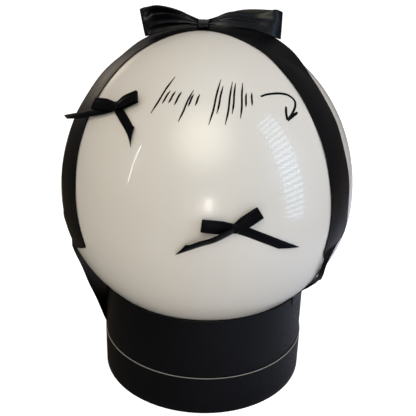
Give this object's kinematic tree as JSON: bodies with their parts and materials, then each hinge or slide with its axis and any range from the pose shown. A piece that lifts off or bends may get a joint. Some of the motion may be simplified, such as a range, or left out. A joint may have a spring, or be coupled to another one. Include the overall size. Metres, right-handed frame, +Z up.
{
  "type": "party balloon in a hat box",
  "caption": "Large pearl balloon resting in a round black hat box, tied with a wide satin ribbon and bow, with small satin bows on its side.",
  "frame": {"origin": "centre of the lid's underside, on which the box stands", "axes": "+Z up, the front with the small bows faces -Y"},
  "size_m": [0.3456, 0.3526, 0.4482],
  "materials": {
    "box_card": "black paper-covered card with a soft sheen",
    "lid_card": "black paper-covered card with a soft sheen",
    "pearl_latex": "pearl white latex, glossy",
    "wide_satin": "black satin ribbon",
    "bow_satin": "black satin ribbon",
    "narrow_satin": "narrow black satin ribbon"
  },
  "bodies": {
    "root": {"hat_box": "box_card", "hat_box_lid": "lid_card", "balloon": "pearl_latex", "ribbon_band": "wide_satin", "top_bow": "bow_satin", "small_bow_upper": "narrow_satin", "small_bow_front": "narrow_satin"}
  },
  "joints": []
}
